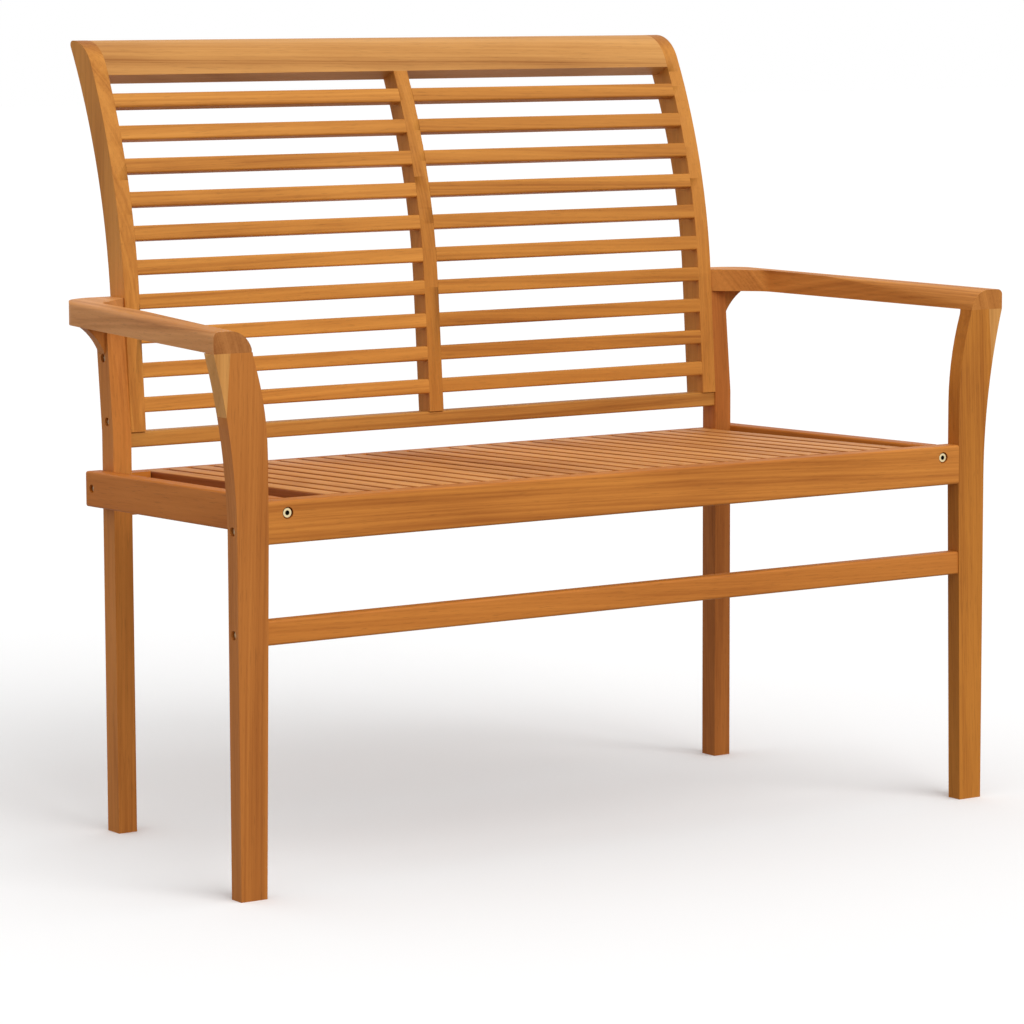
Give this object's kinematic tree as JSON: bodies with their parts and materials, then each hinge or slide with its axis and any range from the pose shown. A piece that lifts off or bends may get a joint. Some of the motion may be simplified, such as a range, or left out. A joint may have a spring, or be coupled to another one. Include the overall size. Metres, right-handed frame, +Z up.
{
  "type": "garden bench",
  "caption": "Slatted teak garden bench with a curved back that rolls over at the top, flared front legs and level arms.",
  "frame": {"origin": "on the floor, at the middle of the bench's length and of its depth", "axes": "+X along the bench to the right as seen from the front, +Y from the front to the back, +Z up"},
  "size_m": [1.12, 0.5508, 0.94],
  "materials": {
    "leg_wood": "oiled, sanded, satin",
    "wedge_wood": "oiled, sanded, satin",
    "rail_wood": "oiled, sanded, satin",
    "bearer_wood": "oiled, sanded, satin",
    "slat_wood": "oiled, sanded, satin",
    "back_wood": "oiled, sanded, satin",
    "crest_wood": "oiled, sanded, satin",
    "arm_wood": "oiled, sanded, satin",
    "dowel_wood": "oiled, sanded, satin",
    "bolt_brass": "satin",
    "screw_steel": "satin"
  },
  "bodies": {
    "root": {"front_leg_left": "leg_wood", "front_leg_right": "leg_wood", "leg_flare_left": "wedge_wood", "leg_flare_right": "wedge_wood", "rear_leg_left": "leg_wood", "rear_leg_right": "leg_wood", "side_rail_left": "rail_wood", "side_rail_right": "rail_wood", "front_rail": "rail_wood", "rear_rail": "rail_wood", "front_stretcher": "rail_wood", "front_cleat": "bearer_wood", "seat_bearer": "bearer_wood", "seat_slat_1": "slat_wood", "seat_slat_2": "slat_wood", "seat_slat_3": "slat_wood", "seat_slat_4": "slat_wood", "seat_slat_5": "slat_wood", "seat_slat_6": "slat_wood", "seat_slat_7": "slat_wood", "seat_slat_8": "slat_wood", "seat_slat_9": "slat_wood", "seat_slat_10": "slat_wood", "seat_slat_11": "slat_wood", "seat_slat_12": "slat_wood", "seat_slat_13": "slat_wood", "seat_slat_14": "slat_wood", "seat_slat_15": "slat_wood", "seat_slat_16": "slat_wood", "seat_slat_17": "slat_wood", "seat_slat_18": "slat_wood", "seat_slat_19": "slat_wood", "seat_slat_20": "slat_wood", "seat_slat_21": "slat_wood", "seat_slat_22": "slat_wood", "seat_slat_23": "slat_wood", "seat_slat_24": "slat_wood", "seat_slat_25": "slat_wood", "seat_slat_26": "slat_wood", "seat_slat_27": "slat_wood", "back_stile_left": "back_wood", "back_stile_right": "back_wood", "back_centre_stile": "back_wood", "crest_rail": "crest_wood", "back_bottom_rail": "back_wood", "back_slats_left": "back_wood", "back_slats_right": "back_wood", "armrest_left": "arm_wood", "armrest_right": "arm_wood", "arm_bracket_left": "arm_wood", "arm_bracket_right": "arm_wood", "apron_bolts": "bolt_brass", "barrel_nuts": "screw_steel", "frame_screws": "screw_steel", "slat_screws": "screw_steel", "dowels": "dowel_wood"}
  },
  "joints": []
}
